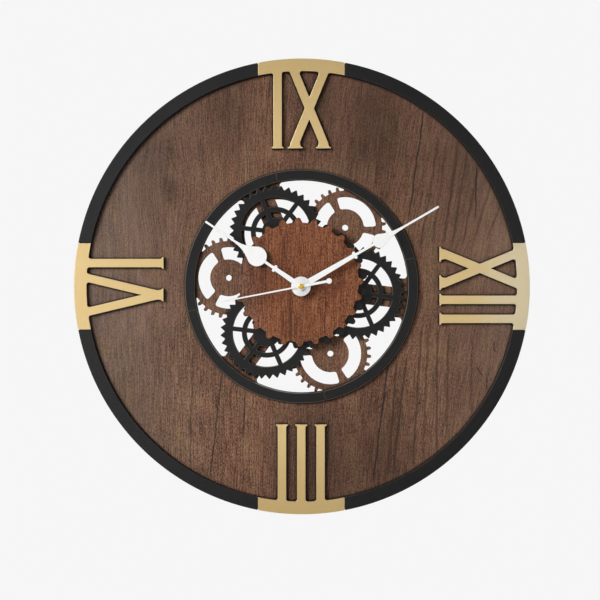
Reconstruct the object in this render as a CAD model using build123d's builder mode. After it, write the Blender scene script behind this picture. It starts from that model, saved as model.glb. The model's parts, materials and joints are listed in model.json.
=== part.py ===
from build123d import *
import os
from math import asin, cos, degrees, radians, sin, sqrt, tan

os.makedirs("parts", exist_ok=True)

# Wall clock with a wood panel, cut-out gears and a battery movement.
# Sizes are in millimetres. The hand axis is Y, the wall is the plane y = 0, and every
# height below is a distance in front of the wall. Angles run anticlockwise seen from the front.

# Fits
running_clearance = 0.05
push_clearance = 0.01
joint_gap = 0.3
corner_tolerance = 0.05

# Face panel and rim
clock_diameter = 300.0
rim_width = 8.3
panel_inset = 0.4
panel_thickness = 5.0
overlay_thickness = 3.0
window_radius = 70.2
centre_disc_radius = 27.0
web_width = 26.0
web_corner_radius = 2.2

# Inner ring of four quarters
ring_reveal = 0.2
ring_width = 6.3
ring_joint_angles = (14.3, 102.9, 192.3, 282.0)

# Gears cut in the panel
panel_gear_angles = (53.3, 173.3, 293.3)
panel_gear_slot_angles = (54.0, 174.0, 356.0)
panel_gear_tooth_angles = (5.6, 5.6, 8.2)
panel_gear_orbit = 48.4
panel_gear_teeth = 30
panel_gear_tip_radius = 27.0
panel_gear_tooth_depth = 2.6
panel_gear_tooth_tip = 1.8
panel_gear_tooth_base = 2.4
panel_gear_tooth_crown = 0.5
panel_gear_rim_width = 4.0
panel_gear_slots = 3
panel_gear_slot_width = 8.2
panel_gear_slot_arc = 103.5
panel_gear_slot_corner = 1.6
panel_gear_hole_radius = 2.0

# Black gears laid on the panel
black_gear_angles = (113.3, 233.3, 353.3)
black_gear_teeth = 36
black_gear_gap = 4.82
black_gear_tooth_depth = 2.6
black_gear_tooth_tip = 0.5
black_gear_tooth_base = 4.6
black_gear_rim_width = 5.1
black_gear_ring_radius = 16.5
black_gear_ring_width = 3.3
black_gear_hub_radius = 9.2
black_gear_spokes = 6
black_gear_spoke_width = 3.0
black_gear_ring_clearance = 1.9
black_gear_shifts = ((-1.8, 1.0), (0.0, 0.0), (-0.4, 0.0))
support_ring_width = 3.9
support_strip_width = 13.5

# Hub gear and the black gear behind it
hub_gear_teeth = 24
hub_gear_tip_radius = 42.2
hub_gear_tooth_depth = 3.1
hub_gear_tooth_tip = 3.2
hub_gear_tooth_base = 5.2
hub_gear_tooth_crown = 0.8
hub_gear_tooth_angle = 0.7
hub_gear_shift = (-1.4, 2.8)
hub_backing_shift = (1.4, 1.2)

# Numerals
numeral_block_half_width = 28.5
numeral_foot_radius = 90.8
stroke_width = 5.6
serif_width = 8.0
serif_lip = 0.9
serif_height = 2.7
numeral_corner_radius = 1.5
letter_x_foot_spread = 9.3
letter_x_foot_width = 9.9
letter_x_neck_width = 6.4
letter_x_crossing_share = 0.479
letter_x_foot_height = 3.9
letter_v_notch_share = 0.224
letter_v_foot_width = 8.5
letter_v_neck_width = 6.3
letter_v_foot_height = 4.4
letter_v_spread = 11.5
nine_i_place = -15.6
nine_x_place = 5.3
twelve_x_place = -11.8
twelve_first_i_place = 8.8
twelve_second_i_place = 21.3
three_i_spacing = 12.7
six_v_place = -5.6
six_i_place = 15.4

# Movement case
case_width = 56.0
case_depth = 16.0
case_wall = 1.2
case_corner_radius = 4.0
cover_thickness = 1.5
cover_lip_height = 1.0
pivot_depth = 0.8
battery_radius = 7.15
battery_nub_radius = 2.7
battery_nub_length = 1.3
battery_edge_radius = 0.6
battery_gap = 0.4
contact_thickness = 0.4
contact_width = 9.0
contact_spring_room = 2.3

# Movement train: tooth counts, modules, tooth sizes as shares of the module, directions of the axes
second_wheel_teeth = 60
second_pinion_teeth = 10
third_wheel_teeth = 75
third_pinion_teeth = 10
centre_wheel_teeth = 80
idler_wheel_teeth = 60
idler_pinion_teeth = 10
rotor_pinion_teeth = 12
cannon_pinion_teeth = 12
motion_wheel_teeth = 36
motion_pinion_teeth = 10
hour_wheel_teeth = 40
knob_pinion_teeth = 12
centre_module = 0.20
second_module = 0.26
rotor_module = 0.20
hour_module = 0.32
third_direction = 165.0
idler_direction = 35.0
rotor_direction = 10.0
motion_direction = 90.0
tooth_height_share = 0.8
tooth_depth_share = 1.2
tooth_tip_share = 0.6
wheel_root_share = 1.5
pinion_root_share = 1.2
wheel_thickness = 1.2
pinion_overlap = 0.2
layer_gap = 0.3
arbor_radius = 0.4
second_arbor_radius = 0.5
minute_pipe_radius = 1.6
hour_pipe_radius = 2.5
stud_radius = 0.8
stud_head_radius = 1.4
stud_head_height = 0.4
clutch_flange_radius = 3.0
clutch_flange_height = 0.5
clutch_spring_radius = 4.5
clutch_spring_height = 0.7
clutch_spring_thickness = 0.25

# Motor and circuit
magnet_radius = 2.8
magnet_length = 3.0
stator_gap = 0.5
stator_thickness = 0.8
stator_arm_width = 3.0
stator_case_gap = 2.5
stator_height = 18.0
core_thickness = 1.0
coil_radius = 4.0
bobbin_wall = 0.6
bobbin_flange_radius = 4.6
board_gap = 1.0
board_width = 15.0
board_wheel_gap = 1.4
board_thickness = 1.0
crystal_radius = 1.0
crystal_length = 6.0
chip_radius = 2.5
chip_height = 0.8
post_radius = 1.2

# Setting knob
knob_radius = 5.2
knob_height = 2.7
knob_recess = 0.3
knob_shaft_radius = 1.5
knob_flutes = 24
knob_flute_radius = 0.45
well_gap = 0.4
well_wall = 1.0

# Bush, hanger and fasteners
bush_radius = 3.9
bush_flange_radius = 6.5
bush_flange_height = 1.3
bush_clearance = 0.2
hanger_thickness = 1.0
hanger_width = 22.0
hanger_hole_radius = 3.2
hanger_hole_drop = 5.5
hanger_margin = 5.3
hanger_foot = 12.0
rubber_thickness = 0.8
rubber_radius = 11.0
washer_thickness = 0.6
washer_radius = 6.2
nut_width = 10.8
nut_height = 2.0
bush_stand_out = 0.4

# Hands
hand_thickness = 0.5
hand_boss_radius = 6.45
hand_spacing = 1.2
pipe_stand_out = 0.3
hand_tip_width = 1.45
hand_flank_share = 0.9
hand_point_share = 0.4
hour_hand_angle = 145.8
hour_hand_length = 75.5
hour_bulb_at = 34.8
hour_bulb_radius = 6.5
hour_flank_angle = 55.0
hour_taper_end = 56.0
hour_collar_at = 20.8
hour_collar_width = 4.9
hour_stem_width = 3.7
hour_neck_width = 2.7
hour_shank_width = 1.9
minute_hand_angle = 30.1
minute_hand_length = 103.5
minute_bulb_at = 59.0
minute_bulb_radius = 4.6
minute_flank_angle = 62.0
minute_taper_end = 82.0
minute_collar_at = 40.4
minute_collar_width = 5.2
minute_stem_width = 4.3
minute_neck_width = 2.8
minute_shank_width = 1.8
collar_length = 2.2
second_hand_angle = 190.9
second_hand_length = 52.9
second_hand_width = 1.2
second_tip_width = 0.9
second_tail_length = 20.5
second_tail_width = 1.8
second_ball_radius = 1.9
second_disc_radius = 2.7
cap_radius = 1.85
cap_height = 1.2
cap_round_share = 0.7

# Heights of the layers, from the wall outwards
front_inner = case_depth - case_wall
hanger_back = case_depth
rubber_back = hanger_back + hanger_thickness
panel_back = rubber_back + rubber_thickness
overlay_back = panel_back + panel_thickness
backing_back = overlay_back + overlay_thickness
hub_back = backing_back + overlay_thickness
washer_back = hub_back + overlay_thickness
nut_back = washer_back + washer_thickness
bush_top = nut_back + nut_height + bush_stand_out
hour_hand_back = bush_top + layer_gap
hour_pipe_top = hour_hand_back + hand_thickness + pipe_stand_out
minute_hand_back = hour_hand_back + hand_thickness + hand_spacing
minute_pipe_top = minute_hand_back + hand_thickness + pipe_stand_out
second_hand_back = minute_hand_back + hand_thickness + hand_spacing
second_arbor_top = second_hand_back + hand_thickness + cap_height / 2

# Heights of the train, from the wall outwards
idler_wheel_back = cover_thickness + wheel_thickness
second_wheel_back = idler_wheel_back + wheel_thickness + layer_gap + pinion_overlap
third_wheel_back = second_wheel_back + wheel_thickness + layer_gap + pinion_overlap
minute_pipe_back = third_wheel_back + wheel_thickness + layer_gap / 2
centre_wheel_back = minute_pipe_back + clutch_flange_height + running_clearance
clutch_spring_back = centre_wheel_back + wheel_thickness + running_clearance
cannon_back = clutch_spring_back + clutch_spring_height
stud_head_back = centre_wheel_back + wheel_thickness + layer_gap
motion_wheel_back = stud_head_back + stud_head_height + running_clearance
motion_pinion_back = motion_wheel_back + wheel_thickness
hour_wheel_back = motion_pinion_back + layer_gap
bush_flange_back = front_inner - bush_flange_height

# Radii worked out from the sizes above
clock_radius = clock_diameter / 2
rim_inner_radius = clock_radius - rim_width
ring_inner_radius = window_radius + ring_reveal
ring_outer_radius = ring_inner_radius + ring_width
black_gear_reach = ring_inner_radius - black_gear_ring_clearance
black_gear_tip_radius = (sqrt(3) * black_gear_reach - black_gear_gap) / (2 + sqrt(3))
black_gear_root_radius = black_gear_tip_radius - black_gear_tooth_depth
black_gear_rim_radius = black_gear_root_radius - black_gear_rim_width
black_gear_orbit = black_gear_reach - black_gear_tip_radius
panel_gear_root_radius = panel_gear_tip_radius - panel_gear_tooth_depth
panel_gear_slot_radius = panel_gear_root_radius - panel_gear_rim_width - panel_gear_slot_width / 2
hub_gear_root_radius = hub_gear_tip_radius - hub_gear_tooth_depth
minute_bore_radius = second_arbor_radius + running_clearance
hour_bore_radius = minute_pipe_radius + running_clearance
bush_bore_radius = hour_pipe_radius + running_clearance
bush_hole_radius = bush_radius + bush_clearance

# Centre distances of the meshes; wheels that share two axes share one distance
third_distance = centre_module * (centre_wheel_teeth + third_pinion_teeth) / 2
third_module = 2 * third_distance / (third_wheel_teeth + second_pinion_teeth)
idler_distance = second_module * (second_wheel_teeth + idler_pinion_teeth) / 2
rotor_distance = rotor_module * (idler_wheel_teeth + rotor_pinion_teeth) / 2
motion_distance = hour_module * (hour_wheel_teeth + motion_pinion_teeth) / 2
motion_module = 2 * motion_distance / (motion_wheel_teeth + cannon_pinion_teeth)
knob_distance = motion_module * (motion_wheel_teeth + knob_pinion_teeth) / 2


def front(height):
    """Plane that faces the viewer at a height in front of the wall."""
    return Plane.XZ.offset(height)


def polar(radius, angle, centre=(0, 0)):
    """Point at a radius and an angle from a centre, in the face plane."""
    return (centre[0] + radius * cos(radians(angle)), centre[1] + radius * sin(radians(angle)))


def save(piece, name):
    """Label a finished piece and write it to its own file."""
    piece.part.label = name
    export_step(piece.part, f"parts/{name}.step")


third_axis = polar(third_distance, third_direction)
idler_axis = polar(idler_distance, idler_direction)
rotor_axis = polar(rotor_distance, rotor_direction, idler_axis)
motion_axis = polar(motion_distance, motion_direction)
knob_axis = polar(knob_distance, motion_direction, motion_axis)


# Toothed outlines


def toothed_face(teeth, tip_radius, root_radius, tip_width, root_width, phase):
    """Flat gear with straight-flanked teeth, one of them centred on the phase angle."""
    points = []
    for tooth in range(teeth):
        angle = phase + tooth * 360 / teeth
        for radius, width in ((root_radius, -root_width), (tip_radius, -tip_width), (tip_radius, tip_width),
                              (root_radius, root_width)):
            points.append(polar(radius, angle + degrees(asin(width / 2 / radius))))
    with BuildSketch() as gear:
        with BuildLine():
            Polyline(*points, close=True)
        make_face()
    return gear.sketch


def crowned_face(teeth, tip_radius, root_radius, tip_width, root_width, crown, phase):
    """Flat gear whose tooth tips are rounded to a crown."""
    shoulder_radius = tip_radius - crown
    half_root = degrees(asin(root_width / 2 / root_radius))
    half_tip = degrees(asin(tip_width / 2 / shoulder_radius))
    pitch = 360 / teeth
    with BuildSketch() as gear:
        with BuildLine():
            for tooth in range(teeth):
                angle = phase + tooth * pitch
                Line(polar(root_radius, angle - half_root), polar(shoulder_radius, angle - half_tip))
                ThreePointArc(polar(shoulder_radius, angle - half_tip), polar(tip_radius, angle),
                              polar(shoulder_radius, angle + half_tip))
                Line(polar(shoulder_radius, angle + half_tip), polar(root_radius, angle + half_root))
                Line(polar(root_radius, angle + half_root), polar(root_radius, angle + pitch - half_root))
        make_face()
    return gear.sketch


def train_tip_radius(teeth, module):
    """Radius to the tooth tips of a gear in the movement."""
    return module * (teeth / 2 + tooth_height_share)


def train_face(teeth, module, phase, root_share):
    """Fine gear of the movement, thin-toothed so that meshing teeth run free."""
    tip_radius = train_tip_radius(teeth, module)
    root_radius = module * (teeth / 2 - tooth_depth_share)
    return toothed_face(teeth, tip_radius, root_radius, tooth_tip_share * module, root_share * module, phase)


def wheel_face(teeth, module, phase):
    """Large gear of a mesh."""
    return train_face(teeth, module, phase, wheel_root_share)


def pinion_face(teeth, module, phase):
    """Small gear of a mesh."""
    return train_face(teeth, module, phase, pinion_root_share)


def gap_phase(teeth, direction):
    """Tooth angle that leaves a gap between two teeth pointing in a direction."""
    return direction + 180 / teeth


# Face panel


def annular_slot(radius, width, arc, centre_angle, corner):
    """Curved slot about the origin with rounded corners."""
    inner = radius - width / 2
    outer = radius + width / 2
    start = centre_angle - arc / 2
    end = centre_angle + arc / 2
    with BuildSketch() as slot:
        with BuildLine():
            CenterArc((0, 0), outer, start, arc)
            Line(polar(outer, end), polar(inner, end))
            CenterArc((0, 0), inner, start, arc)
            Line(polar(inner, start), polar(outer, start))
        make_face()
        fillet(slot.vertices(), corner)
    return slot.sketch


def window_corner(vertex):
    """True where the side of a web meets the round window."""
    half_angle = degrees(asin(web_width / 2 / window_radius))
    corner_angles = [place + side * half_angle for place in black_gear_angles for side in (-1, 1)]
    corners = [polar(window_radius, angle) for angle in corner_angles]
    return any((vertex.center() - Vector(*corner)).length < corner_tolerance for corner in corners)


with BuildPart() as back_panel:
    with BuildSketch(front(panel_back)) as panel_outline:
        Circle(clock_radius - panel_inset)
        Circle(window_radius, mode=Mode.SUBTRACT)
        for place, tooth_angle in zip(panel_gear_angles, panel_gear_tooth_angles):
            with Locations(polar(panel_gear_orbit, place)):
                add(crowned_face(panel_gear_teeth, panel_gear_tip_radius, panel_gear_root_radius,
                                 panel_gear_tooth_tip, panel_gear_tooth_base, panel_gear_tooth_crown,
                                 tooth_angle))
        for place in black_gear_angles:
            with Locations(polar(black_gear_orbit, place)):
                Circle(black_gear_rim_radius + support_ring_width)
                Circle(black_gear_rim_radius, mode=Mode.SUBTRACT)
        Circle(centre_disc_radius)
        with PolarLocations(0, len(black_gear_angles), start_angle=black_gear_angles[0]):
            Rectangle(ring_inner_radius, support_strip_width, align=(Align.MIN, Align.CENTER))
            with Locations((black_gear_orbit + black_gear_rim_radius, 0)):
                Rectangle(ring_inner_radius - black_gear_orbit - black_gear_rim_radius, web_width,
                          align=(Align.MIN, Align.CENTER))
        for place, slot_angle in zip(panel_gear_angles, panel_gear_slot_angles):
            with Locations(polar(panel_gear_orbit, place)):
                Circle(panel_gear_hole_radius, mode=Mode.SUBTRACT)
                for slot in range(panel_gear_slots):
                    add(annular_slot(panel_gear_slot_radius, panel_gear_slot_width, panel_gear_slot_arc,
                                     slot_angle + slot * 360 / panel_gear_slots, panel_gear_slot_corner),
                        mode=Mode.SUBTRACT)
        Circle(bush_hole_radius, mode=Mode.SUBTRACT)
        fillet([v for v in panel_outline.vertices() if window_corner(v)], web_corner_radius)
    extrude(amount=panel_thickness)
save(back_panel, "back_panel")


# Rim arcs between the numerals


def rim_band():
    """Ring along the outer edge of the face."""
    with BuildSketch() as band:
        Circle(clock_radius)
        Circle(rim_inner_radius, mode=Mode.SUBTRACT)
    return band.sketch


arc_start = numeral_block_half_width + joint_gap
for name, turn in (("upper_right", 0), ("upper_left", 90), ("lower_left", 180), ("lower_right", 270)):
    with BuildPart() as rim_arc:
        with BuildSketch(front(overlay_back)):
            add(rim_band())
            with PolarLocations(0, 1, start_angle=turn):
                with Locations((arc_start, arc_start)):
                    Rectangle(clock_radius, clock_radius, align=Align.MIN, mode=Mode.INTERSECT)
        extrude(amount=overlay_thickness)
    save(rim_arc, f"rim_arc_{name}")

# Inner ring quarters
joint_half_angle = degrees(joint_gap / 2 / ring_inner_radius)
ring_right, ring_top, ring_left, ring_bottom = ring_joint_angles
for name, joint, next_joint in (
    ("right", ring_bottom - 360, ring_right),
    ("top", ring_right, ring_top),
    ("left", ring_top, ring_left),
    ("bottom", ring_left, ring_bottom),
):
    with BuildPart() as ring_quarter:
        with BuildSketch(front(overlay_back)):
            start = joint + joint_half_angle
            end = next_joint - joint_half_angle
            sweep_angle = end - start
            with BuildLine():
                CenterArc((0, 0), ring_outer_radius, start, sweep_angle)
                Line(polar(ring_outer_radius, end), polar(ring_inner_radius, end))
                CenterArc((0, 0), ring_inner_radius, start, sweep_angle)
                Line(polar(ring_inner_radius, start), polar(ring_outer_radius, start))
            make_face()
        extrude(amount=overlay_thickness)
    save(ring_quarter, f"inner_ring_{name}")

# Numerals: letters stand on the inner ring's side and grow out of a block of the rim
stroke_top = rim_inner_radius + rim_width / 4


def serif_foot(centre, foot_width, neck_width, height):
    """Foot of a letter: a flat lip that curves in to the neck."""
    bottom = numeral_foot_radius
    lip = bottom + serif_lip
    neck = bottom + height
    foot_left = centre - foot_width / 2
    foot_right = centre + foot_width / 2
    neck_left = centre - neck_width / 2
    neck_right = centre + neck_width / 2
    with BuildSketch() as foot:
        with BuildLine():
            Line((foot_left, bottom), (foot_right, bottom))
            Line((foot_right, bottom), (foot_right, lip))
            Bezier((foot_right, lip), (neck_right, lip), (neck_right, neck))
            Line((neck_right, neck), (neck_left, neck))
            Bezier((neck_left, neck), (neck_left, lip), (foot_left, lip))
            Line((foot_left, lip), (foot_left, bottom))
        make_face()
    return foot.sketch


def letter_i(centre):
    """One upright stroke."""
    neck = numeral_foot_radius + serif_height
    with BuildSketch() as letter:
        add(serif_foot(centre, serif_width, stroke_width, serif_height))
        with Locations((centre, neck)):
            Rectangle(stroke_width, stroke_top - neck, align=(Align.CENTER, Align.MIN))
    return letter.sketch


def letter_x(centre):
    """Two crossing strokes on their own feet."""
    neck = numeral_foot_radius + letter_x_foot_height
    crossing_height = letter_x_crossing_share * (rim_inner_radius - neck)
    slope = letter_x_foot_spread / crossing_height
    half = stroke_width / 2 * sqrt(1 + slope * slope)
    reach = slope * (stroke_top - neck)
    with BuildSketch() as letter:
        for side in (-1, 1):
            foot = centre + side * letter_x_foot_spread
            add(serif_foot(foot, letter_x_foot_width, letter_x_neck_width, letter_x_foot_height))
            Polygon((foot - half, neck), (foot + half, neck), (foot + half - side * reach, stroke_top),
                    (foot - half - side * reach, stroke_top), align=None)
    return letter.sketch


def letter_v(centre):
    """Two strokes that meet on one foot."""
    neck = numeral_foot_radius + letter_v_foot_height
    half = letter_v_neck_width / 2
    notch = neck + letter_v_notch_share * (rim_inner_radius - neck)
    outer = half + letter_v_spread
    inner = letter_v_spread * (stroke_top - notch) / (stroke_top - neck)
    with BuildSketch() as letter:
        add(serif_foot(centre, letter_v_foot_width, letter_v_neck_width, letter_v_foot_height))
        Polygon((centre - half, neck), (centre + half, neck), (centre + outer, stroke_top),
                (centre + inner, stroke_top), (centre, notch), (centre - inner, stroke_top),
                (centre - outer, stroke_top), align=None)
    return letter.sketch


def corner_at_band(vertex):
    """True at the inside corners where a stroke meets the rim."""
    point = vertex.center()
    at_band = abs(point.length - rim_inner_radius) < corner_tolerance
    return at_band and abs(point.X) < numeral_block_half_width - corner_tolerance


numerals = (
    ("nine", 0, ((letter_i, nine_i_place), (letter_x, nine_x_place))),
    ("twelve", -90, ((letter_x, twelve_x_place), (letter_i, twelve_first_i_place),
                     (letter_i, twelve_second_i_place))),
    ("three", 180, ((letter_i, -three_i_spacing), (letter_i, 0), (letter_i, three_i_spacing))),
    ("six", 90, ((letter_v, six_v_place), (letter_i, six_i_place))),
)
for name, turn, letters in numerals:
    with BuildSketch() as numeral_outline:
        add(rim_band())
        with Locations((0, clock_radius)):
            Rectangle(2 * numeral_block_half_width, clock_radius, mode=Mode.INTERSECT)
        for letter, centre in letters:
            add(letter(centre))
        fillet([v for v in numeral_outline.vertices() if corner_at_band(v)], numeral_corner_radius)
    with BuildPart() as numeral:
        with BuildSketch(front(overlay_back)):
            add(numeral_outline.sketch, rotation=turn)
        extrude(amount=overlay_thickness)
    save(numeral, f"numeral_{name}")

# Black gears on the panel
for name, place, shift in zip(("upper_left", "lower_left", "right"), black_gear_angles, black_gear_shifts):
    with BuildPart() as black_gear:
        with BuildSketch(front(overlay_back)):
            with Locations(polar(black_gear_orbit, place, shift)):
                add(toothed_face(black_gear_teeth, black_gear_tip_radius, black_gear_root_radius,
                                 black_gear_tooth_tip, black_gear_tooth_base, place))
                Circle(black_gear_rim_radius, mode=Mode.SUBTRACT)
                with PolarLocations(0, black_gear_spokes, start_angle=place):
                    Rectangle(black_gear_root_radius - black_gear_rim_width / 2, black_gear_spoke_width,
                              align=(Align.MIN, Align.CENTER))
                Circle(black_gear_ring_radius)
                Circle(black_gear_ring_radius - black_gear_ring_width, mode=Mode.SUBTRACT)
                with PolarLocations(0, black_gear_spokes, start_angle=place):
                    Rectangle(black_gear_ring_radius - black_gear_ring_width / 2, black_gear_spoke_width,
                              align=(Align.MIN, Align.CENTER))
                Circle(black_gear_hub_radius)
        extrude(amount=overlay_thickness)
    save(black_gear, f"black_gear_{name}")

# Hub gear and its backing gear
half_pitch = 180 / hub_gear_teeth
for name, back, tooth_angle, shift in (
    ("hub_backing_gear", backing_back, hub_gear_tooth_angle + half_pitch, hub_backing_shift),
    ("hub_gear", hub_back, hub_gear_tooth_angle, hub_gear_shift),
):
    with BuildPart() as hub_layer:
        with BuildSketch(front(back)):
            with Locations(shift):
                add(crowned_face(hub_gear_teeth, hub_gear_tip_radius, hub_gear_root_radius,
                                 hub_gear_tooth_tip, hub_gear_tooth_base, hub_gear_tooth_crown, tooth_angle))
            Circle(bush_hole_radius, mode=Mode.SUBTRACT)
        extrude(amount=overlay_thickness)
    save(hub_layer, name)


# Movement case
case_inner = case_width - 2 * case_wall
trough_centre = -case_inner / 2 + battery_gap + battery_radius
trough_top = trough_centre + battery_radius + battery_gap
stator_back = second_wheel_back + wheel_thickness + layer_gap + pinion_overlap
stator_front = stator_back + stator_thickness
stator_left = rotor_axis[0] - magnet_radius - stator_gap - stator_arm_width
stator_right = case_inner / 2 - stator_case_gap
stator_span = stator_right - stator_left
stator_bar_width = 2 * (magnet_radius + stator_gap) + stator_arm_width
stator_foot = rotor_axis[1] - stator_bar_width / 2
core_level = stator_foot + stator_height - stator_arm_width / 2
board_left = -case_inner / 2 + board_gap
board_bottom = third_axis[1] + train_tip_radius(third_wheel_teeth, third_module) + board_wheel_gap
board_height = case_inner / 2 - board_gap - board_bottom
board_front = stator_front + board_thickness
stator_post_level = core_level - 2 * stator_arm_width
stator_posts = ((stator_left + stator_arm_width / 2, stator_post_level),
                (stator_right - stator_arm_width / 2, stator_post_level))
board_posts = ((board_left + 2 * post_radius, board_bottom + 2 * post_radius),
               (board_left + board_width - 2 * post_radius, board_bottom + board_height - 2 * post_radius))
long_arbors = (third_axis, idler_axis, rotor_axis)
arbor_back = cover_thickness - pivot_depth
arbor_front = front_inner + pivot_depth
hole_depth = pivot_depth + running_clearance
wheels_by_trough = ((second_wheel_back, second_wheel_teeth, second_module),
                    (centre_wheel_back, centre_wheel_teeth, centre_module))


def disc(height, radius, length, axis=(0, 0), mode=Mode.ADD):
    """Round bar or hole about an axis, from a height towards the viewer."""
    with BuildSketch(front(height)) as section:
        with Locations(axis):
            Circle(radius)
    extrude(section.sketch, amount=length, mode=mode)


def gear_layer(height, face, length, axis=(0, 0)):
    """Toothed layer of a wheel about an axis."""
    with BuildSketch(front(height)) as section:
        with Locations(axis):
            add(face)
    extrude(section.sketch, amount=length)


with BuildPart() as movement_case:
    with BuildSketch(front(cover_thickness)):
        RectangleRounded(case_width, case_width, case_corner_radius)
    extrude(amount=case_depth - cover_thickness)
    with BuildSketch(front(cover_thickness)):
        RectangleRounded(case_inner, case_inner, case_corner_radius - case_wall)
        with Locations((0, trough_top)):
            Rectangle(case_inner, case_wall, align=(Align.CENTER, Align.MIN), mode=Mode.SUBTRACT)
    extrude(amount=front_inner - cover_thickness, mode=Mode.SUBTRACT)
    for wheel_back, teeth, module in wheels_by_trough:
        disc(wheel_back - layer_gap, train_tip_radius(teeth, module) + layer_gap,
             wheel_thickness + 2 * layer_gap, mode=Mode.SUBTRACT)
    for post in stator_posts:
        disc(stator_front, post_radius, front_inner - stator_front + case_wall / 2, post)
    for post in board_posts:
        disc(board_front, post_radius, front_inner - board_front + case_wall / 2, post)
    disc(front_inner, bush_radius + push_clearance, case_wall, mode=Mode.SUBTRACT)
    for axis in long_arbors:
        disc(front_inner, arbor_radius + running_clearance, hole_depth, axis, Mode.SUBTRACT)
    disc(front_inner, stud_radius + running_clearance, hole_depth, knob_axis, Mode.SUBTRACT)
    disc(front_inner, stud_radius + push_clearance, hole_depth, motion_axis, Mode.SUBTRACT)
save(movement_case, "movement_case")

well_radius = knob_radius + well_gap
well_depth = knob_recess + knob_height + well_gap
lip_width = case_inner - 2 * joint_gap
lip_inner = lip_width - 2 * case_wall
lip_corner_radius = case_corner_radius - case_wall - joint_gap
with BuildPart() as movement_cover:
    with BuildSketch(front(0)):
        RectangleRounded(case_width, case_width, case_corner_radius)
        with Locations((0, trough_centre)):
            Rectangle(case_inner, 2 * (battery_radius + battery_gap), mode=Mode.SUBTRACT)
    extrude(amount=cover_thickness)
    with BuildSketch(front(cover_thickness)):
        RectangleRounded(lip_width, lip_width, lip_corner_radius)
        RectangleRounded(lip_inner, lip_inner, lip_corner_radius - case_wall, mode=Mode.SUBTRACT)
        with Locations((0, trough_top + case_wall + joint_gap)):
            Rectangle(case_width, case_width, align=(Align.CENTER, Align.MIN), mode=Mode.INTERSECT)
    extrude(amount=cover_lip_height)
    disc(0, well_radius + well_wall, well_depth + well_wall, knob_axis)
    disc(0, well_radius, well_depth, knob_axis, Mode.SUBTRACT)
    disc(well_depth, knob_shaft_radius + running_clearance, well_wall, knob_axis, Mode.SUBTRACT)
    for axis in long_arbors:
        disc(cover_thickness - hole_depth, arbor_radius + running_clearance, hole_depth, axis, Mode.SUBTRACT)
    disc(cover_thickness - hole_depth, second_arbor_radius + running_clearance, hole_depth,
         mode=Mode.SUBTRACT)
save(movement_cover, "movement_cover")

# Battery and its contacts
battery_height = front_inner - battery_gap / 2 - battery_radius
battery_right = case_inner / 2 - contact_thickness - battery_nub_length
battery_left = -case_inner / 2 + contact_thickness + contact_spring_room
battery_length = battery_right - battery_left
contact_back = front_inner - contact_width
with BuildPart() as battery_cell:
    with BuildSketch(Plane.YZ.offset(battery_left)):
        with Locations((-battery_height, trough_centre)):
            Circle(battery_radius)
    extrude(amount=battery_length)
    fillet(battery_cell.edges().filter_by(GeomType.CIRCLE), battery_edge_radius)
    with BuildSketch(Plane.YZ.offset(battery_right)):
        with Locations((-battery_height, trough_centre)):
            Circle(battery_nub_radius)
    extrude(amount=battery_nub_length)
save(battery_cell, "battery_cell")

with BuildPart() as battery_plus_contact:
    with BuildSketch(front(contact_back)):
        with Locations((case_inner / 2, trough_centre)):
            Rectangle(contact_thickness, contact_width, align=(Align.MAX, Align.CENTER))
    extrude(amount=contact_width)
save(battery_plus_contact, "battery_plus_contact")

plate_face = -case_inner / 2 + contact_thickness
leaf_foot = trough_centre - contact_width / 2
leaf_end = trough_centre + contact_width / 3
with BuildPart() as battery_minus_contact:
    with BuildSketch(front(contact_back)):
        with Locations((-case_inner / 2, trough_centre)):
            Rectangle(contact_thickness, contact_width, align=(Align.MIN, Align.CENTER))
        Polygon((plate_face, leaf_foot), (battery_left, trough_centre),
                (plate_face + 2 * contact_thickness, leaf_end), (plate_face + contact_thickness, leaf_end),
                (battery_left - 2 * contact_thickness, trough_centre),
                (plate_face, leaf_foot + 2 * contact_thickness), align=None)
    extrude(amount=contact_width)
save(battery_minus_contact, "battery_minus_contact")

# Stepping motor: stator, core, coil, and the rotor that turns half a turn each second
with BuildPart() as stator:
    with BuildSketch(front(stator_back)):
        with Locations((stator_left, stator_foot)):
            Rectangle(stator_span, stator_bar_width, align=Align.MIN)
            Rectangle(stator_arm_width, stator_height, align=Align.MIN)
        with Locations((stator_right, stator_foot)):
            Rectangle(stator_arm_width, stator_height, align=(Align.MAX, Align.MIN))
        with Locations(rotor_axis):
            Circle(magnet_radius + stator_gap, mode=Mode.SUBTRACT)
    extrude(amount=stator_thickness)
save(stator, "stator")

core_height = stator_front + core_thickness / 2
with BuildPart() as coil_core:
    with BuildSketch(front(stator_front)):
        with Locations((stator_left, core_level)):
            Rectangle(stator_span, stator_arm_width, align=(Align.MIN, Align.CENTER))
    extrude(amount=core_thickness)
save(coil_core, "coil_core")

bobbin_left = stator_left + stator_arm_width + joint_gap
bobbin_length = stator_span - 2 * (stator_arm_width + joint_gap)
spool_radius = stator_arm_width / 2 + 2 * bobbin_wall
with BuildPart() as coil_bobbin:
    with BuildSketch(Plane.YZ.offset(bobbin_left)):
        with Locations((-core_height, core_level)):
            Circle(bobbin_flange_radius)
    extrude(amount=bobbin_length)
    with BuildSketch(Plane.YZ.offset(bobbin_left + bobbin_wall)):
        with Locations((-core_height, core_level)):
            Circle(bobbin_flange_radius)
            Circle(spool_radius, mode=Mode.SUBTRACT)
    extrude(amount=bobbin_length - 2 * bobbin_wall, mode=Mode.SUBTRACT)
    with BuildSketch(Plane.YZ.offset(bobbin_left)):
        with Locations((-core_height, core_level)):
            Rectangle(core_thickness + 2 * push_clearance, stator_arm_width + 2 * push_clearance)
    extrude(amount=bobbin_length, mode=Mode.SUBTRACT)
save(coil_bobbin, "coil_bobbin")

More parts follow.
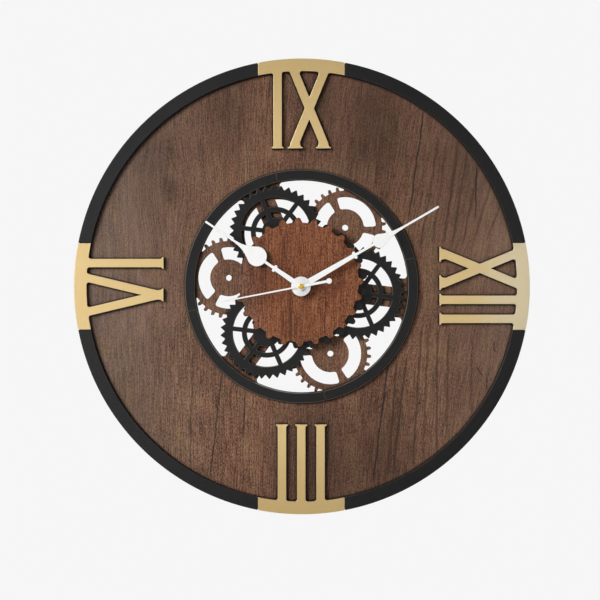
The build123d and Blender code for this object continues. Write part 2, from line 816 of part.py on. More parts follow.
with BuildPart() as coil_winding:
    with BuildSketch(Plane.YZ.offset(bobbin_left + bobbin_wall)):
        with Locations((-core_height, core_level)):
            Circle(coil_radius)
            Circle(spool_radius + push_clearance, mode=Mode.SUBTRACT)
    extrude(amount=bobbin_length - 2 * bobbin_wall)
save(coil_winding, "coil_winding")

rotor_pinion_back = idler_wheel_back - pinion_overlap
rotor_pinion_length = wheel_thickness + 2 * pinion_overlap
with BuildPart() as rotor_pinion:
    disc(arbor_back, arbor_radius, arbor_front - arbor_back, rotor_axis)
    gear_layer(rotor_pinion_back, pinion_face(rotor_pinion_teeth, rotor_module, rotor_direction + 180),
               rotor_pinion_length, rotor_axis)
save(rotor_pinion, "rotor_pinion")

magnet_back = rotor_pinion_back + rotor_pinion_length
with BuildPart() as rotor_magnet:
    disc(magnet_back, magnet_radius, magnet_length, rotor_axis)
    disc(magnet_back, arbor_radius + push_clearance, magnet_length, rotor_axis, Mode.SUBTRACT)
save(rotor_magnet, "rotor_magnet")

# Circuit board with its quartz crystal and chip
with BuildPart() as circuit_board:
    with BuildSketch(front(stator_front)):
        with Locations((board_left, board_bottom)):
            Rectangle(board_width, board_height, align=Align.MIN)
    extrude(amount=board_thickness)
save(circuit_board, "circuit_board")

with BuildPart() as quartz_crystal:
    with BuildSketch(Plane.YZ.offset(board_left + crystal_length / 2)):
        with Locations((-(stator_front - crystal_radius), board_bottom + 3 * crystal_radius)):
            Circle(crystal_radius)
    extrude(amount=crystal_length)
save(quartz_crystal, "quartz_crystal")

with BuildPart() as driver_chip:
    disc(stator_front - chip_height, chip_radius, chip_height,
         (board_left + board_width / 2, board_bottom + board_height - 2 * chip_radius))
    fillet(driver_chip.edges().group_by(Axis.Y)[-1], chip_height / 2)
save(driver_chip, "driver_chip")

# Going train
with BuildPart() as idler_wheel:
    disc(arbor_back, arbor_radius, arbor_front - arbor_back, idler_axis)
    gear_layer(idler_wheel_back,
               wheel_face(idler_wheel_teeth, rotor_module, gap_phase(idler_wheel_teeth, rotor_direction)),
               wheel_thickness, idler_axis)
    gear_layer(idler_wheel_back + wheel_thickness,
               pinion_face(idler_pinion_teeth, second_module, idler_direction + 180),
               second_wheel_back - idler_wheel_back + pinion_overlap, idler_axis)
save(idler_wheel, "idler_wheel")

with BuildPart() as second_arbor:
    disc(arbor_back, second_arbor_radius, second_arbor_top - arbor_back)
save(second_arbor, "second_arbor")

second_pinion_back = second_wheel_back + wheel_thickness
with BuildPart() as second_wheel:
    gear_layer(second_wheel_back,
               wheel_face(second_wheel_teeth, second_module, gap_phase(second_wheel_teeth, idler_direction)),
               wheel_thickness)
    gear_layer(second_pinion_back, pinion_face(second_pinion_teeth, third_module, third_direction),
               minute_pipe_back - running_clearance - second_pinion_back)
    disc(second_wheel_back, second_arbor_radius + push_clearance, minute_pipe_back - second_wheel_back,
         mode=Mode.SUBTRACT)
save(second_wheel, "second_wheel")

with BuildPart() as third_wheel:
    disc(arbor_back, arbor_radius, arbor_front - arbor_back, third_axis)
    gear_layer(third_wheel_back,
               wheel_face(third_wheel_teeth, third_module,
                          gap_phase(third_wheel_teeth, third_direction + 180)),
               wheel_thickness, third_axis)
    gear_layer(third_wheel_back + wheel_thickness,
               pinion_face(third_pinion_teeth, centre_module, third_direction + 180),
               centre_wheel_back - third_wheel_back + pinion_overlap, third_axis)
save(third_wheel, "third_wheel")

with BuildPart() as centre_wheel:
    gear_layer(centre_wheel_back,
               wheel_face(centre_wheel_teeth, centre_module, gap_phase(centre_wheel_teeth, third_direction)),
               wheel_thickness)
    disc(centre_wheel_back, minute_pipe_radius + running_clearance, wheel_thickness, mode=Mode.SUBTRACT)
save(centre_wheel, "centre_wheel")

# Hand-setting train: the minute pipe slips in the centre wheel when the knob is turned
cannon_length = hour_wheel_back - running_clearance - cannon_back
with BuildPart() as minute_pipe:
    disc(minute_pipe_back, minute_pipe_radius, minute_pipe_top - minute_pipe_back)
    disc(minute_pipe_back, clutch_flange_radius, clutch_flange_height)
    gear_layer(cannon_back, pinion_face(cannon_pinion_teeth, motion_module, motion_direction), cannon_length)
    disc(minute_pipe_back, minute_bore_radius, minute_pipe_top - minute_pipe_back, mode=Mode.SUBTRACT)
save(minute_pipe, "minute_pipe")

spring_bore = minute_pipe_radius + push_clearance
with BuildPart() as clutch_spring:
    with BuildSketch(Plane.XY):
        Polygon((spring_bore, -cannon_back + clutch_spring_thickness), (spring_bore, -cannon_back),
                (clutch_spring_radius, -clutch_spring_back - clutch_spring_thickness),
                (clutch_spring_radius, -clutch_spring_back), align=None)
    revolve(axis=Axis.Y)
save(clutch_spring, "clutch_spring")

with BuildPart() as motion_stud:
    disc(stud_head_back, stud_head_radius, stud_head_height, motion_axis)
    disc(stud_head_back, stud_radius, arbor_front - stud_head_back, motion_axis)
save(motion_stud, "motion_stud")

motion_length = hour_wheel_back + wheel_thickness + pinion_overlap - motion_wheel_back
with BuildPart() as motion_wheel:
    gear_layer(motion_wheel_back,
               wheel_face(motion_wheel_teeth, motion_module,
                          gap_phase(motion_wheel_teeth, motion_direction + 180)),
               wheel_thickness, motion_axis)
    gear_layer(motion_pinion_back, pinion_face(motion_pinion_teeth, hour_module, motion_direction + 180),
               motion_length - wheel_thickness, motion_axis)
    disc(motion_wheel_back, stud_radius + running_clearance, motion_length, motion_axis, Mode.SUBTRACT)
save(motion_wheel, "motion_wheel")

with BuildPart() as hour_wheel:
    gear_layer(hour_wheel_back,
               wheel_face(hour_wheel_teeth, hour_module, gap_phase(hour_wheel_teeth, motion_direction)),
               wheel_thickness)
    disc(hour_wheel_back, hour_pipe_radius, hour_pipe_top - hour_wheel_back)
    disc(hour_wheel_back, hour_bore_radius, hour_pipe_top - hour_wheel_back, mode=Mode.SUBTRACT)
save(hour_wheel, "hour_wheel")

knob_pinion_back = motion_wheel_back - pinion_overlap
knob_pinion_length = wheel_thickness + 2 * pinion_overlap
with BuildPart() as setting_knob:
    with BuildSketch(front(knob_recess)):
        with Locations(knob_axis):
            Circle(knob_radius)
            with PolarLocations(knob_radius, knob_flutes):
                Circle(knob_flute_radius, mode=Mode.SUBTRACT)
    extrude(amount=knob_height)
    disc(knob_recess, knob_shaft_radius, knob_pinion_back - knob_recess, knob_axis)
    gear_layer(knob_pinion_back, pinion_face(knob_pinion_teeth, motion_module, motion_direction + 180),
               knob_pinion_length, knob_axis)
    disc(knob_pinion_back, stud_radius, arbor_front - knob_pinion_back, knob_axis)
save(setting_knob, "setting_knob")

# Bush, hanger and fasteners that clamp the movement to the face
with BuildPart() as threaded_bush:
    disc(bush_flange_back, bush_flange_radius, bush_flange_height)
    disc(bush_flange_back, bush_radius, bush_top - bush_flange_back)
    disc(bush_flange_back, bush_bore_radius, bush_top - bush_flange_back, mode=Mode.SUBTRACT)
save(threaded_bush, "threaded_bush")

hanger_hole_level = case_width / 2 + hanger_hole_drop
hanger_shoulder_level = hanger_hole_level - hanger_width / 2
with BuildPart() as hanger_plate:
    with BuildSketch(front(hanger_back)):
        Polygon((-hanger_width / 2, -hanger_foot), (hanger_width / 2, -hanger_foot),
                (hanger_width / 2, hanger_shoulder_level), (hanger_margin, hanger_hole_level),
                (-hanger_margin, hanger_hole_level), (-hanger_width / 2, hanger_shoulder_level), align=None)
        with Locations((0, hanger_hole_level)):
            Circle(hanger_margin)
            Circle(hanger_hole_radius, mode=Mode.SUBTRACT)
        Circle(bush_hole_radius, mode=Mode.SUBTRACT)
    extrude(amount=hanger_thickness)
save(hanger_plate, "hanger_plate")

with BuildPart() as rubber_washer:
    disc(rubber_back, rubber_radius, rubber_thickness)
    disc(rubber_back, bush_hole_radius, rubber_thickness, mode=Mode.SUBTRACT)
save(rubber_washer, "rubber_washer")

with BuildPart() as brass_washer:
    disc(washer_back, washer_radius, washer_thickness)
    disc(washer_back, bush_hole_radius, washer_thickness, mode=Mode.SUBTRACT)
save(brass_washer, "brass_washer")

with BuildPart() as hex_nut:
    with BuildSketch(front(nut_back)):
        RegularPolygon(nut_width / 2, 6, major_radius=False)
        Circle(bush_radius + push_clearance, mode=Mode.SUBTRACT)
    extrude(amount=nut_height)
save(hex_nut, "hex_nut")


# Hands


def spade_hand(length, stem_width, neck_width, collar_at, collar_width, shank_width, bulb_at, bulb_radius,
               flank_angle, taper_end, hole_radius):
    """Hand along +X: boss, tapered stem, collar, thin shank, round bulb and a long needle point."""
    start = polar(bulb_radius, flank_angle, (bulb_at, 0))
    tip_edge = hand_tip_width / 2
    drop = hand_flank_share * (start[1] - tip_edge)
    upper = (start, (start[0] + drop * tan(radians(flank_angle)), start[1] - drop),
             (taper_end - hand_point_share * (taper_end - start[0]), tip_edge), (taper_end, tip_edge))
    lower = tuple((x, -y) for x, y in reversed(upper))
    with BuildSketch() as hand:
        Circle(hand_boss_radius)
        Polygon((0, -stem_width / 2), (collar_at, -neck_width / 2),
                (collar_at, neck_width / 2), (0, stem_width / 2), align=None)
        with Locations((collar_at, 0)):
            RectangleRounded(collar_length, collar_width, collar_length / 2 - push_clearance)
            Rectangle(bulb_at - collar_at, shank_width, align=(Align.MIN, Align.CENTER))
        with Locations((bulb_at, 0)):
            Circle(bulb_radius)
        with BuildLine():
            Bezier(*upper)
            Line(upper[-1], lower[0])
            Bezier(*lower)
            Line(lower[-1], upper[0])
        make_face()
        with Locations((bulb_at, 0)):
            Rectangle(length - tip_edge - bulb_at, hand_tip_width, align=(Align.MIN, Align.CENTER))
        with Locations((length - tip_edge, 0)):
            Circle(tip_edge)
        Circle(hole_radius, mode=Mode.SUBTRACT)
    return hand.sketch


def cut_hand(face, height, angle):
    """Sheet-metal hand at its height, turned to its rest direction."""
    with BuildSketch(front(height)) as section:
        add(face, rotation=angle)
    extrude(section.sketch, amount=hand_thickness)


with BuildPart() as hour_hand:
    cut_hand(spade_hand(hour_hand_length, hour_stem_width, hour_neck_width, hour_collar_at, hour_collar_width,
                        hour_shank_width, hour_bulb_at, hour_bulb_radius, hour_flank_angle, hour_taper_end,
                        hour_pipe_radius + push_clearance), hour_hand_back, hour_hand_angle)
save(hour_hand, "hour_hand")

with BuildPart() as minute_hand:
    cut_hand(spade_hand(minute_hand_length, minute_stem_width, minute_neck_width, minute_collar_at,
                        minute_collar_width, minute_shank_width, minute_bulb_at, minute_bulb_radius,
                        minute_flank_angle, minute_taper_end, minute_pipe_radius + push_clearance),
             minute_hand_back, minute_hand_angle)
save(minute_hand, "minute_hand")

with BuildSketch() as second_outline:
    Circle(second_disc_radius)
    Polygon((0, -second_hand_width / 2), (second_hand_length, -second_tip_width / 2),
            (second_hand_length, second_tip_width / 2), (0, second_hand_width / 2), align=None)
    Rectangle(second_tail_length - second_ball_radius, second_tail_width, align=(Align.MAX, Align.CENTER))
    with Locations((second_ball_radius - second_tail_length, 0)):
        Circle(second_ball_radius)
    Circle(second_arbor_radius + push_clearance, mode=Mode.SUBTRACT)
with BuildPart() as second_hand:
    cut_hand(second_outline.sketch, second_hand_back, second_hand_angle)
save(second_hand, "second_hand")

cap_back = second_hand_back + hand_thickness
with BuildPart() as second_hand_cap:
    disc(cap_back, cap_radius, cap_height)
    fillet(second_hand_cap.edges().group_by(Axis.Y)[0], cap_round_share * cap_height)
    disc(cap_back, second_arbor_radius + push_clearance, second_arbor_top - cap_back, mode=Mode.SUBTRACT)
save(second_hand_cap, "second_hand_cap")
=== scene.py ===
import json
import math

import bmesh
import bpy
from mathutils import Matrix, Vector


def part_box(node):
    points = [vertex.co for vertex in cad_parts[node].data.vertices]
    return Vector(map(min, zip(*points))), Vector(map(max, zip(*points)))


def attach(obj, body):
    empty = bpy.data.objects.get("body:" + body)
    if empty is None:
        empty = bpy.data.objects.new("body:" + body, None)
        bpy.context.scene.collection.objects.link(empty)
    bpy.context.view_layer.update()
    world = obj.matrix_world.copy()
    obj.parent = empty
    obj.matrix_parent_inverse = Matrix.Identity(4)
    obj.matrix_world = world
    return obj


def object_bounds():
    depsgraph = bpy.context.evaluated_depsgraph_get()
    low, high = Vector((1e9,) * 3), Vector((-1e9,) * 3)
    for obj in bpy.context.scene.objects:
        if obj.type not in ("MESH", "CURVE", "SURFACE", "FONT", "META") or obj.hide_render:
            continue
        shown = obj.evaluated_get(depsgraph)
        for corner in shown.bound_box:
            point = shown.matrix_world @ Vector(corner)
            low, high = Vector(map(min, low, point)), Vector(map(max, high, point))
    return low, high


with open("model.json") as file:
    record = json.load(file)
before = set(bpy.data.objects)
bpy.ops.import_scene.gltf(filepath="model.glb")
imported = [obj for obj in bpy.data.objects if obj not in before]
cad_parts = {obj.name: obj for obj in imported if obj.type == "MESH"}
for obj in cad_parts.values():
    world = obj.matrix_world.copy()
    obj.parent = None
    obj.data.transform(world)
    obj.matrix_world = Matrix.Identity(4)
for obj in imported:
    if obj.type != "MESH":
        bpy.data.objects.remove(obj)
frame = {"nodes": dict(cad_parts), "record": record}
cad_low, cad_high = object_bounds()
nodes = frame["nodes"]

# Sizes are in metres unless a name says otherwise. Places on the face are x and z in millimetres.
mm = 0.001

# Photograph's frame and camera
photo_pixels = 600
outline_pixels = 455.9
axis_pixels = (301.3, 286.4)
camera_azimuth = 1.0
camera_lens = 90.0
camera_sensor = 36.0
camera_near = 0.01

# Edge roundings
board_edge = 0.22 * mm
ring_edge = 0.35 * mm
hand_edge = 0.18 * mm
moulded_edge = 0.30 * mm
metal_edge = 0.12 * mm
cap_edge = 0.05 * mm
rounding_segments = 2
sharp_edge_angle = math.radians(35)
flat_face_angle = math.radians(0.3)
weld_distance = 0.001 * mm

# Cone on the minute hand's boss: radii, and heights above the front of the hand
cap_outer = 6.3 * mm
cap_inner = 1.75 * mm
cap_foot = 0.01 * mm
cap_side = 0.12 * mm
cap_top = 0.75 * mm
cap_segments = 96

# Marks in the wood, in millimetres on the face: knots, and stains and painted shade, as (x, z, radius,
# strength), veins and cracks as (from, to, strength)
panel_marks = {
    "knots": ((-87.0, 66.0, 30.0, 0.5), (72.0, -68.0, 18.0, 0.30), (36.0, 122.0, 14.0, 0.4)),
    "stains_and_shade": (
        (-87.0, 65.0, 12.0, 0.55),
        (-65.0, 90.0, 15.0, 0.35),
        (46.0, 112.0, 52.0, 0.61),
        (96.0, 94.0, 60.0, 0.28),
        (-52.0, 122.0, 38.0, 0.52),
        (14.0, 128.0, 44.0, 0.54),
        (-96.0, 96.0, 70.0, 0.28),
        # The two patches round the III are painted shade between and beside its strokes
        (10.0, -118.0, 52.0, 0.64),
        (52.0, -114.0, 44.0, 0.60),
        (-110.0, -82.0, 40.0, 0.12),
        (80.0, 30.0, 26.0, 0.16),
    ),
    "veins": (
        ((63.3, -46.0), (56.1, -130.6), 0.70),
        ((69.9, -41.5), (60.0, -126.4), 0.75),
        ((79.2, -24.7), (73.2, -122.1), 0.72),
        ((83.8, -24.7), (79.8, -118.8), 0.50),
        ((89.7, -24.0), (89.0, -112.2), 0.70),
        ((97.0, -28.3), (95.6, -100.0), 0.58),
        ((112.8, -28.3), (111.5, -80.2), 0.50),
        ((91.0, 100.3), (78.5, 24.3), 0.62),
        ((96.3, 97.0), (85.7, 24.3), 0.52),
        ((103.5, 95.0), (93.0, 24.3), 0.66),
        ((109.5, 90.4), (99.0, 24.3), 0.62),
        ((117.4, 83.1), (105.5, 24.3), 0.56),
        ((126.0, 72.0), (113.0, 28.0), 0.50),
        ((133.0, 58.0), (121.0, 28.0), 0.50),
        ((30.0, 128.0), (24.0, 76.0), 0.30),
        ((56.0, 120.0), (48.0, 62.0), 0.35),
        ((-22.0, 134.0), (-24.0, 84.0), 0.30),
        ((-40.0, 124.0), (-43.0, 66.0), 0.30),
    ),
    "cracks": (
        ((81.2, 119.0), (70.4, 41.5), 1.0),
        ((115.4, 84.0), (114.5, 42.0), 0.9),
        ((-52.1, -53.6), (-60.4, -127.8), 0.8),
        ((-36.6, -65.0), (-38.9, -104.0), 0.8),
        ((-71.2, -38.9), (-73.9, -121.4), 0.6),
        ((57.6, -48.0), (46.8, -133.2), 1.0),
        ((-20.8, 137.7), (-21.6, 122.8), 0.7),
        ((40.2, 136.0), (39.2, 127.8), 0.7),
        ((115.4, -52.0), (119.8, -60.5), 0.8),
        ((122.3, -58.0), (121.7, -70.0), 0.8),
        ((126.1, -36.0), (127.7, -44.0), 0.8),
        ((126.8, -41.8), (131.2, -44.8), 0.6),
        ((118.6, -24.5), (122.4, -30.0), 0.6),
    ),
}
hub_marks = {
    "knots": (),
    "stains_and_shade": ((-4.0, -27.0, 24.0, 0.26), (-26.0, 6.0, 16.0, 0.30), (-11.0, 24.0, 10.0, 0.22)),
    "veins": (
        ((-7.3, -4.0), (-7.6, -38.0), 0.65),
        ((-12.5, -12.0), (-13.0, -40.0), 0.35),
        ((-11.9, 36.0), (-12.4, 6.0), 0.40),
        ((-25.0, 22.0), (-26.0, -20.0), 0.45),
        ((8.0, 38.0), (7.4, 14.0), 0.40),
        ((27.0, 24.0), (26.4, -20.0), 0.30),
    ),
    "cracks": (
        ((-6.2, -12.0), (-6.8, -40.0), 0.8),
        ((-23.0, 18.0), (-23.6, -14.0), 0.5),
        ((-9.0, 38.0), (-9.6, 12.0), 0.38),
        ((16.0, 2.0), (15.6, -34.0), 0.40),
    ),
}
vein_width = 1.25
crack_width = 0.75
line_core_share = 0.2
line_waver = 2.2
longest_taper = 8.0
taper_share = 0.25
knot_stretch = 0.55
stain_and_shade_stretch = 0.6
# Reach of the painted shade in the wood's corners next to raised pieces
corner_shade_reach = 2.2 * mm
corner_rays = 8

# How much each layer of the wood's texture counts, and the stops of its colour ramps
fibre_amount = 1.3
speck_amount = 1.4
band_amount = 0.28
streak_amount = 0.35
blotch_amount = 0.5
dash_amount = 0.4
fibre_relief = 0.6
dash_relief = 0.5
tone_stops = (0.0, 0.38, 0.62, 1.0)
two_tone_stops = (0.15, 0.85)

# Sockets that carry colours on a mix node
mix_first, mix_second, mix_result = 6, 7, 2


class Surface:
    """A node material in the making. Most methods add a node and return its output socket."""

    def __init__(self, name):
        self.material = bpy.data.materials.new(name)
        self.material.use_nodes = True
        self.nodes = self.material.node_tree.nodes
        self.links = self.material.node_tree.links
        self.nodes.clear()
        output = self.nodes.new("ShaderNodeOutputMaterial")
        self.shader = self.nodes.new("ShaderNodeBsdfPrincipled")
        self.links.new(self.shader.outputs[0], output.inputs["Surface"])
        coordinates = self.nodes.new("ShaderNodeTexCoord")
        self.place = self.stretch(coordinates.outputs["Object"], 1 / mm)
        self.x, self.y, self.z = self.split(self.place)
        geometry = self.nodes.new("ShaderNodeNewGeometry")
        self.facing = self.split(geometry.outputs["Normal"])[1]

    def feed(self, socket, value):
        """Link a socket to an input, or set the input to a constant."""
        if isinstance(value, bpy.types.NodeSocket):
            self.links.new(value, socket)
        else:
            socket.default_value = value

    def set(self, **inputs):
        """Set the shader's own inputs; underscores in the names stand for spaces."""
        for name, value in inputs.items():
            self.feed(self.shader.inputs[name.replace("_", " ")], value)
        return self.material

    def calc(self, operation, first, second=0.0):
        node = self.nodes.new("ShaderNodeMath")
        node.operation = operation
        self.feed(node.inputs[0], first)
        self.feed(node.inputs[1], second)
        return node.outputs[0]

    def stretch(self, vector, factors):
        """Vector times one factor, or times one factor for each of x, y and z."""
        node = self.nodes.new("ShaderNodeVectorMath")
        node.operation = "MULTIPLY"
        self.feed(node.inputs[0], vector)
        self.feed(node.inputs[1], factors if isinstance(factors, tuple) else (factors,) * 3)
        return node.outputs[0]

    def split(self, vector):
        node = self.nodes.new("ShaderNodeSeparateXYZ")
        self.feed(node.inputs[0], vector)
        return tuple(node.outputs)

    def join(self, x, y, z):
        node = self.nodes.new("ShaderNodeCombineXYZ")
        for socket, value in zip(node.inputs, (x, y, z)):
            self.feed(socket, value)
        return node.outputs[0]

    def noise(self, vector, detail, roughness=0.5):
        node = self.nodes.new("ShaderNodeTexNoise")
        self.feed(node.inputs["Vector"], vector)
        node.inputs["Scale"].default_value = 1.0
        node.inputs["Detail"].default_value = detail
        node.inputs["Roughness"].default_value = roughness
        return node.outputs[0]

    def cloud(self, cycles, detail):
        """Noise over the piece, with its cycles per millimetre."""
        return self.noise(self.stretch(self.place, cycles), detail)

    def smooth(self, value, low, high):
        """0 at low and 1 at high, with an even start and end."""
        node = self.nodes.new("ShaderNodeMapRange")
        node.interpolation_type = "SMOOTHSTEP"
        self.feed(node.inputs["Value"], value)
        node.inputs["From Min"].default_value = low
        node.inputs["From Max"].default_value = high
        return node.outputs[0]

    def span(self, value, low, high):
        """A value between 0 and 1 spread over low to high."""
        node = self.nodes.new("ShaderNodeMapRange")
        self.feed(node.inputs["Value"], value)
        node.inputs["To Min"].default_value = low
        node.inputs["To Max"].default_value = high
        return node.outputs[0]

    def ramp(self, value, positions, colours):
        """Colour that goes through the given colours at the given positions."""
        node = self.nodes.new("ShaderNodeValToRGB")
        self.feed(node.inputs[0], value)
        elements = node.color_ramp.elements
        while len(elements) < len(positions):
            elements.new(0.5)
        for element, position, colour in zip(elements, positions, colours):
            element.position = position
            element.color = colour
        return node.outputs[0]

    def blend(self, mask, first, second, strength=1.0):
        """First colour where the mask is 0, and as much of the second as the strength says where it is 1."""
        node = self.nodes.new("ShaderNodeMix")
        node.data_type = "RGBA"
        self.feed(node.inputs[0], self.calc("MULTIPLY", mask, strength))
        self.feed(node.inputs[mix_first], first)
        self.feed(node.inputs[mix_second], second)
        return node.outputs[mix_result]

    def bump(self, height, depth):
        """Give the shader relief from a height between 0 and 1, as deep as the given length."""
        node = self.nodes.new("ShaderNodeBump")
        node.inputs["Distance"].default_value = depth
        self.feed(node.inputs["Height"], height)
        self.feed(self.shader.inputs["Normal"], node.outputs[0])

    def corners(self, distance):
        """1 in the corners where another piece stands up within the given length, 0 in the open; the wood
        uses it to paint shade there.
        """
        node = self.nodes.new("ShaderNodeAmbientOcclusion")
        node.samples = corner_rays
        node.inputs["Distance"].default_value = distance
        return self.smooth(node.outputs["AO"], low=0.93, high=0.58)

    def sides(self):
        """1 on faces that stand square to the face of the clock, 0 on its flat faces."""
        return self.smooth(self.calc("ABSOLUTE", self.facing), low=0.8, high=0.4)

    def rounding(self):
        """1 on the small roundings between a flat face and a cut edge."""
        slant = self.calc("ABSOLUTE", self.facing)
        off_flat = self.smooth(slant, low=0.97, high=0.85)
        off_side = self.smooth(slant, low=0.25, high=0.5)
        return self.calc("MULTIPLY", off_flat, off_side)

    def back(self):
        """1 on faces turned to the wall."""
        return self.smooth(self.facing, low=0.5, high=0.8)


def srgb(red, green, blue):
    """Colour from its 0 to 255 values on a screen, by the usual screen curve."""
    channels = []
    for value in (red, green, blue):
        share = value / 255
        channels.append(share / 12.92 if share <= 0.04045 else ((share + 0.055) / 1.055) ** 2.4)
    return (*channels, 1.0)


# Wood

crack_dark = srgb(30, 19, 22)
# Colour of the painted shade in the wood's corners
corner_shade = srgb(20, 11, 10)
bare_board = (srgb(122, 90, 62), srgb(150, 116, 84))
burnt_board = (srgb(26, 17, 14), srgb(48, 32, 24))


def middling(s, noise, amount):
    """Noise spread evenly to both sides of nought."""
    return s.calc("MULTIPLY", s.calc("SUBTRACT", noise, 0.5), amount)


def length(s, first, second):
    """Length of the slope across two square sides."""
    squares = s.calc("ADD", s.calc("MULTIPLY", first, first), s.calc("MULTIPLY", second, second))
    return s.calc("SQRT", squares)


def reach(s, x, z, stretch=1.0):
    """Distance from a place on the face, with heights stretched."""
    side = s.calc("SUBTRACT", s.x, x)
    along = s.calc("MULTIPLY", s.calc("SUBTRACT", s.z, z), stretch)
    return length(s, side, along)


def grain_lines(s, bend, lean, knots):
    """Sideways place in millimetres, straightened so that grain lines keep one value."""
    slow = s.cloud((0.016, 0.0, 0.010), detail=1.0)
    line = s.calc("ADD", s.x, middling(s, slow, bend))
    leaning = s.smooth(s.x, low=-60.0, high=110.0)
    line = s.calc("SUBTRACT", line, s.calc("MULTIPLY", s.calc("MULTIPLY", s.z, lean), leaning))
    for x, z, radius, strength in knots:
        near = s.smooth(reach(s, x, z, knot_stretch), low=radius, high=0.0)
        pull = s.calc("MULTIPLY", near, strength)
        line = s.calc("SUBTRACT", line, s.calc("MULTIPLY", s.calc("SUBTRACT", s.x, x), pull))
    return line


def line_mask(s, marks, width):
    """1 along wavering lines in the wood."""
    waver = middling(s, s.cloud(0.16, detail=3.0), line_waver)
    total = 0.0
    for (x0, z0), (x1, z1), strength in marks:
        slope = (x1 - x0) / (z1 - z0)
        middle = s.calc("ADD", s.calc("MULTIPLY", s.calc("SUBTRACT", s.z, z0), slope), x0)
        away = s.calc("ABSOLUTE", s.calc("SUBTRACT", s.calc("ADD", s.x, waver), middle))
        line = s.smooth(away, low=width, high=width * line_core_share)
        taper = min(longest_taper, taper_share * abs(z1 - z0))
        top = s.smooth(s.z, low=max(z0, z1), high=max(z0, z1) - taper)
        bottom = s.smooth(s.z, low=min(z0, z1), high=min(z0, z1) + taper)
        shown = s.calc("MULTIPLY", s.calc("MULTIPLY", top, bottom), strength)
        total = s.calc("MAXIMUM", total, s.calc("MULTIPLY", line, shown))
    return total


def stain_and_shade_mask(s, stains_and_shade):
    """Soft dark patches: stains in the wood, and some painted shade."""
    total = 0.0
    for x, z, radius, strength in stains_and_shade:
        near = s.smooth(reach(s, x, z, stain_and_shade_stretch), low=radius, high=0.0)
        total = s.calc("MAXIMUM", total, s.calc("MULTIPLY", near, strength))
    return total


def wood(name, marks, tones, sheen_tones, yellow, bend, lean, fine, fade_start, fade_end, right_share, yellowed):
    """Laminate printed with upright grain, on board with burnt cut edges and a bare back."""
    s = Surface(name)
    line = grain_lines(s, bend, lean, marks["knots"])

    def along_grain(across, upright, layer, detail):
        place = s.join(s.calc("MULTIPLY", line, across), layer, s.calc("MULTIPLY", s.z, upright))
        return s.noise(place, detail, roughness=0.55)

    bands = along_grain(across=0.16, upright=0.006, layer=0.0, detail=3.0)
    streaks = along_grain(across=0.45, upright=0.018, layer=3.0, detail=3.0)
    fibres = along_grain(across=1.5, upright=0.06, layer=7.0, detail=2.0)
    pores = along_grain(across=2.2, upright=0.16, layer=11.0, detail=2.0)
    blotches = s.cloud((0.024, 0.0, 0.018), detail=4.0)
    specks = s.cloud((1.6, 1.0, 0.75), detail=2.0)
    mottle = s.cloud(1.6, detail=4.0)

    # Printed grain, calmer to the sides and livelier below the middle
    outside = s.smooth(s.calc("ABSOLUTE", s.x), low=60.0, high=115.0)
    below = s.smooth(s.z, low=0.0, high=-80.0)
    lively = s.calc("MULTIPLY", s.span(outside, low=1.0, high=0.56), s.span(below, low=1.0, high=1.25))
    fibrous = middling(s, fibres, fibre_amount * fine)
    texture = s.calc("ADD", fibrous, middling(s, specks, speck_amount * fine))
    mixed = s.calc("ADD", 0.5, s.calc("MULTIPLY", texture, lively))
    for layer, amount in ((bands, band_amount), (streaks, streak_amount), (blotches, blotch_amount)):
        mixed = s.calc("ADD", mixed, middling(s, layer, amount))
    colour = s.ramp(mixed, tone_stops, tones)
    # Painted sheen: towards the left edge, and by the right share towards the right edge, the wood turns to
    # greyer tones as if catching the light
    outward = s.calc("MAXIMUM", s.calc("MULTIPLY", s.x, -1.0), s.calc("MULTIPLY", s.x, right_share))
    painted_sheen = s.smooth(outward, fade_start, fade_end)
    colour = s.blend(painted_sheen, colour, s.ramp(mixed, two_tone_stops, sheen_tones))
    patches = s.smooth(s.cloud((0.10, 0.0, 0.035), detail=3.0), low=0.48, high=0.66)
    colour = s.blend(patches, colour, s.ramp(mixed, two_tone_stops, yellow), strength=yellowed)

    # Dark marks, painted shade in the corners by raised pieces, and painted highlight on roundings
    dark, pale = tones[0], tones[-1]
    open_pores = s.smooth(pores, low=0.56, high=0.70)
    dashes = s.calc("MULTIPLY", open_pores, s.calc("MULTIPLY", lively, dash_amount))
    broken = s.span(fibres, low=0.55, high=1.15)
    veins = s.calc("MULTIPLY", line_mask(s, marks["veins"], vein_width), broken)
    cracked = line_mask(s, marks["cracks"], crack_width)
    for mask in (dashes, veins, stain_and_shade_mask(s, marks["stains_and_shade"])):
        colour = s.blend(mask, colour, dark)
    colour = s.blend(cracked, colour, crack_dark, strength=0.9)
    # Painted shade: the wood darkens in corners next to raised pieces, where their shadow falls
    colour = s.blend(s.corners(corner_shade_reach), colour, corner_shade, strength=0.9)
    # Painted highlight: the small roundings of the wood's cut edges are lighter
    colour = s.blend(s.rounding(), colour, pale, strength=0.7)

    # Bare back and burnt edges
    colour = s.blend(s.back(), colour, s.blend(mottle, *bare_board))
    colour = s.blend(s.sides(), colour, s.blend(mottle, *burnt_board))
    raised = s.calc("MULTIPLY", fibres, fibre_relief)
    relief = s.calc("SUBTRACT", raised, s.calc("MULTIPLY", dashes, dash_relief))
    s.bump(s.calc("SUBTRACT", relief, cracked), depth=0.08 * mm)
    roughness = s.span(streaks, low=0.50, high=0.66)
    return s.set(Base_Color=colour, Roughness=roughness, Specular_IOR_Level=0.20)


# Other materials


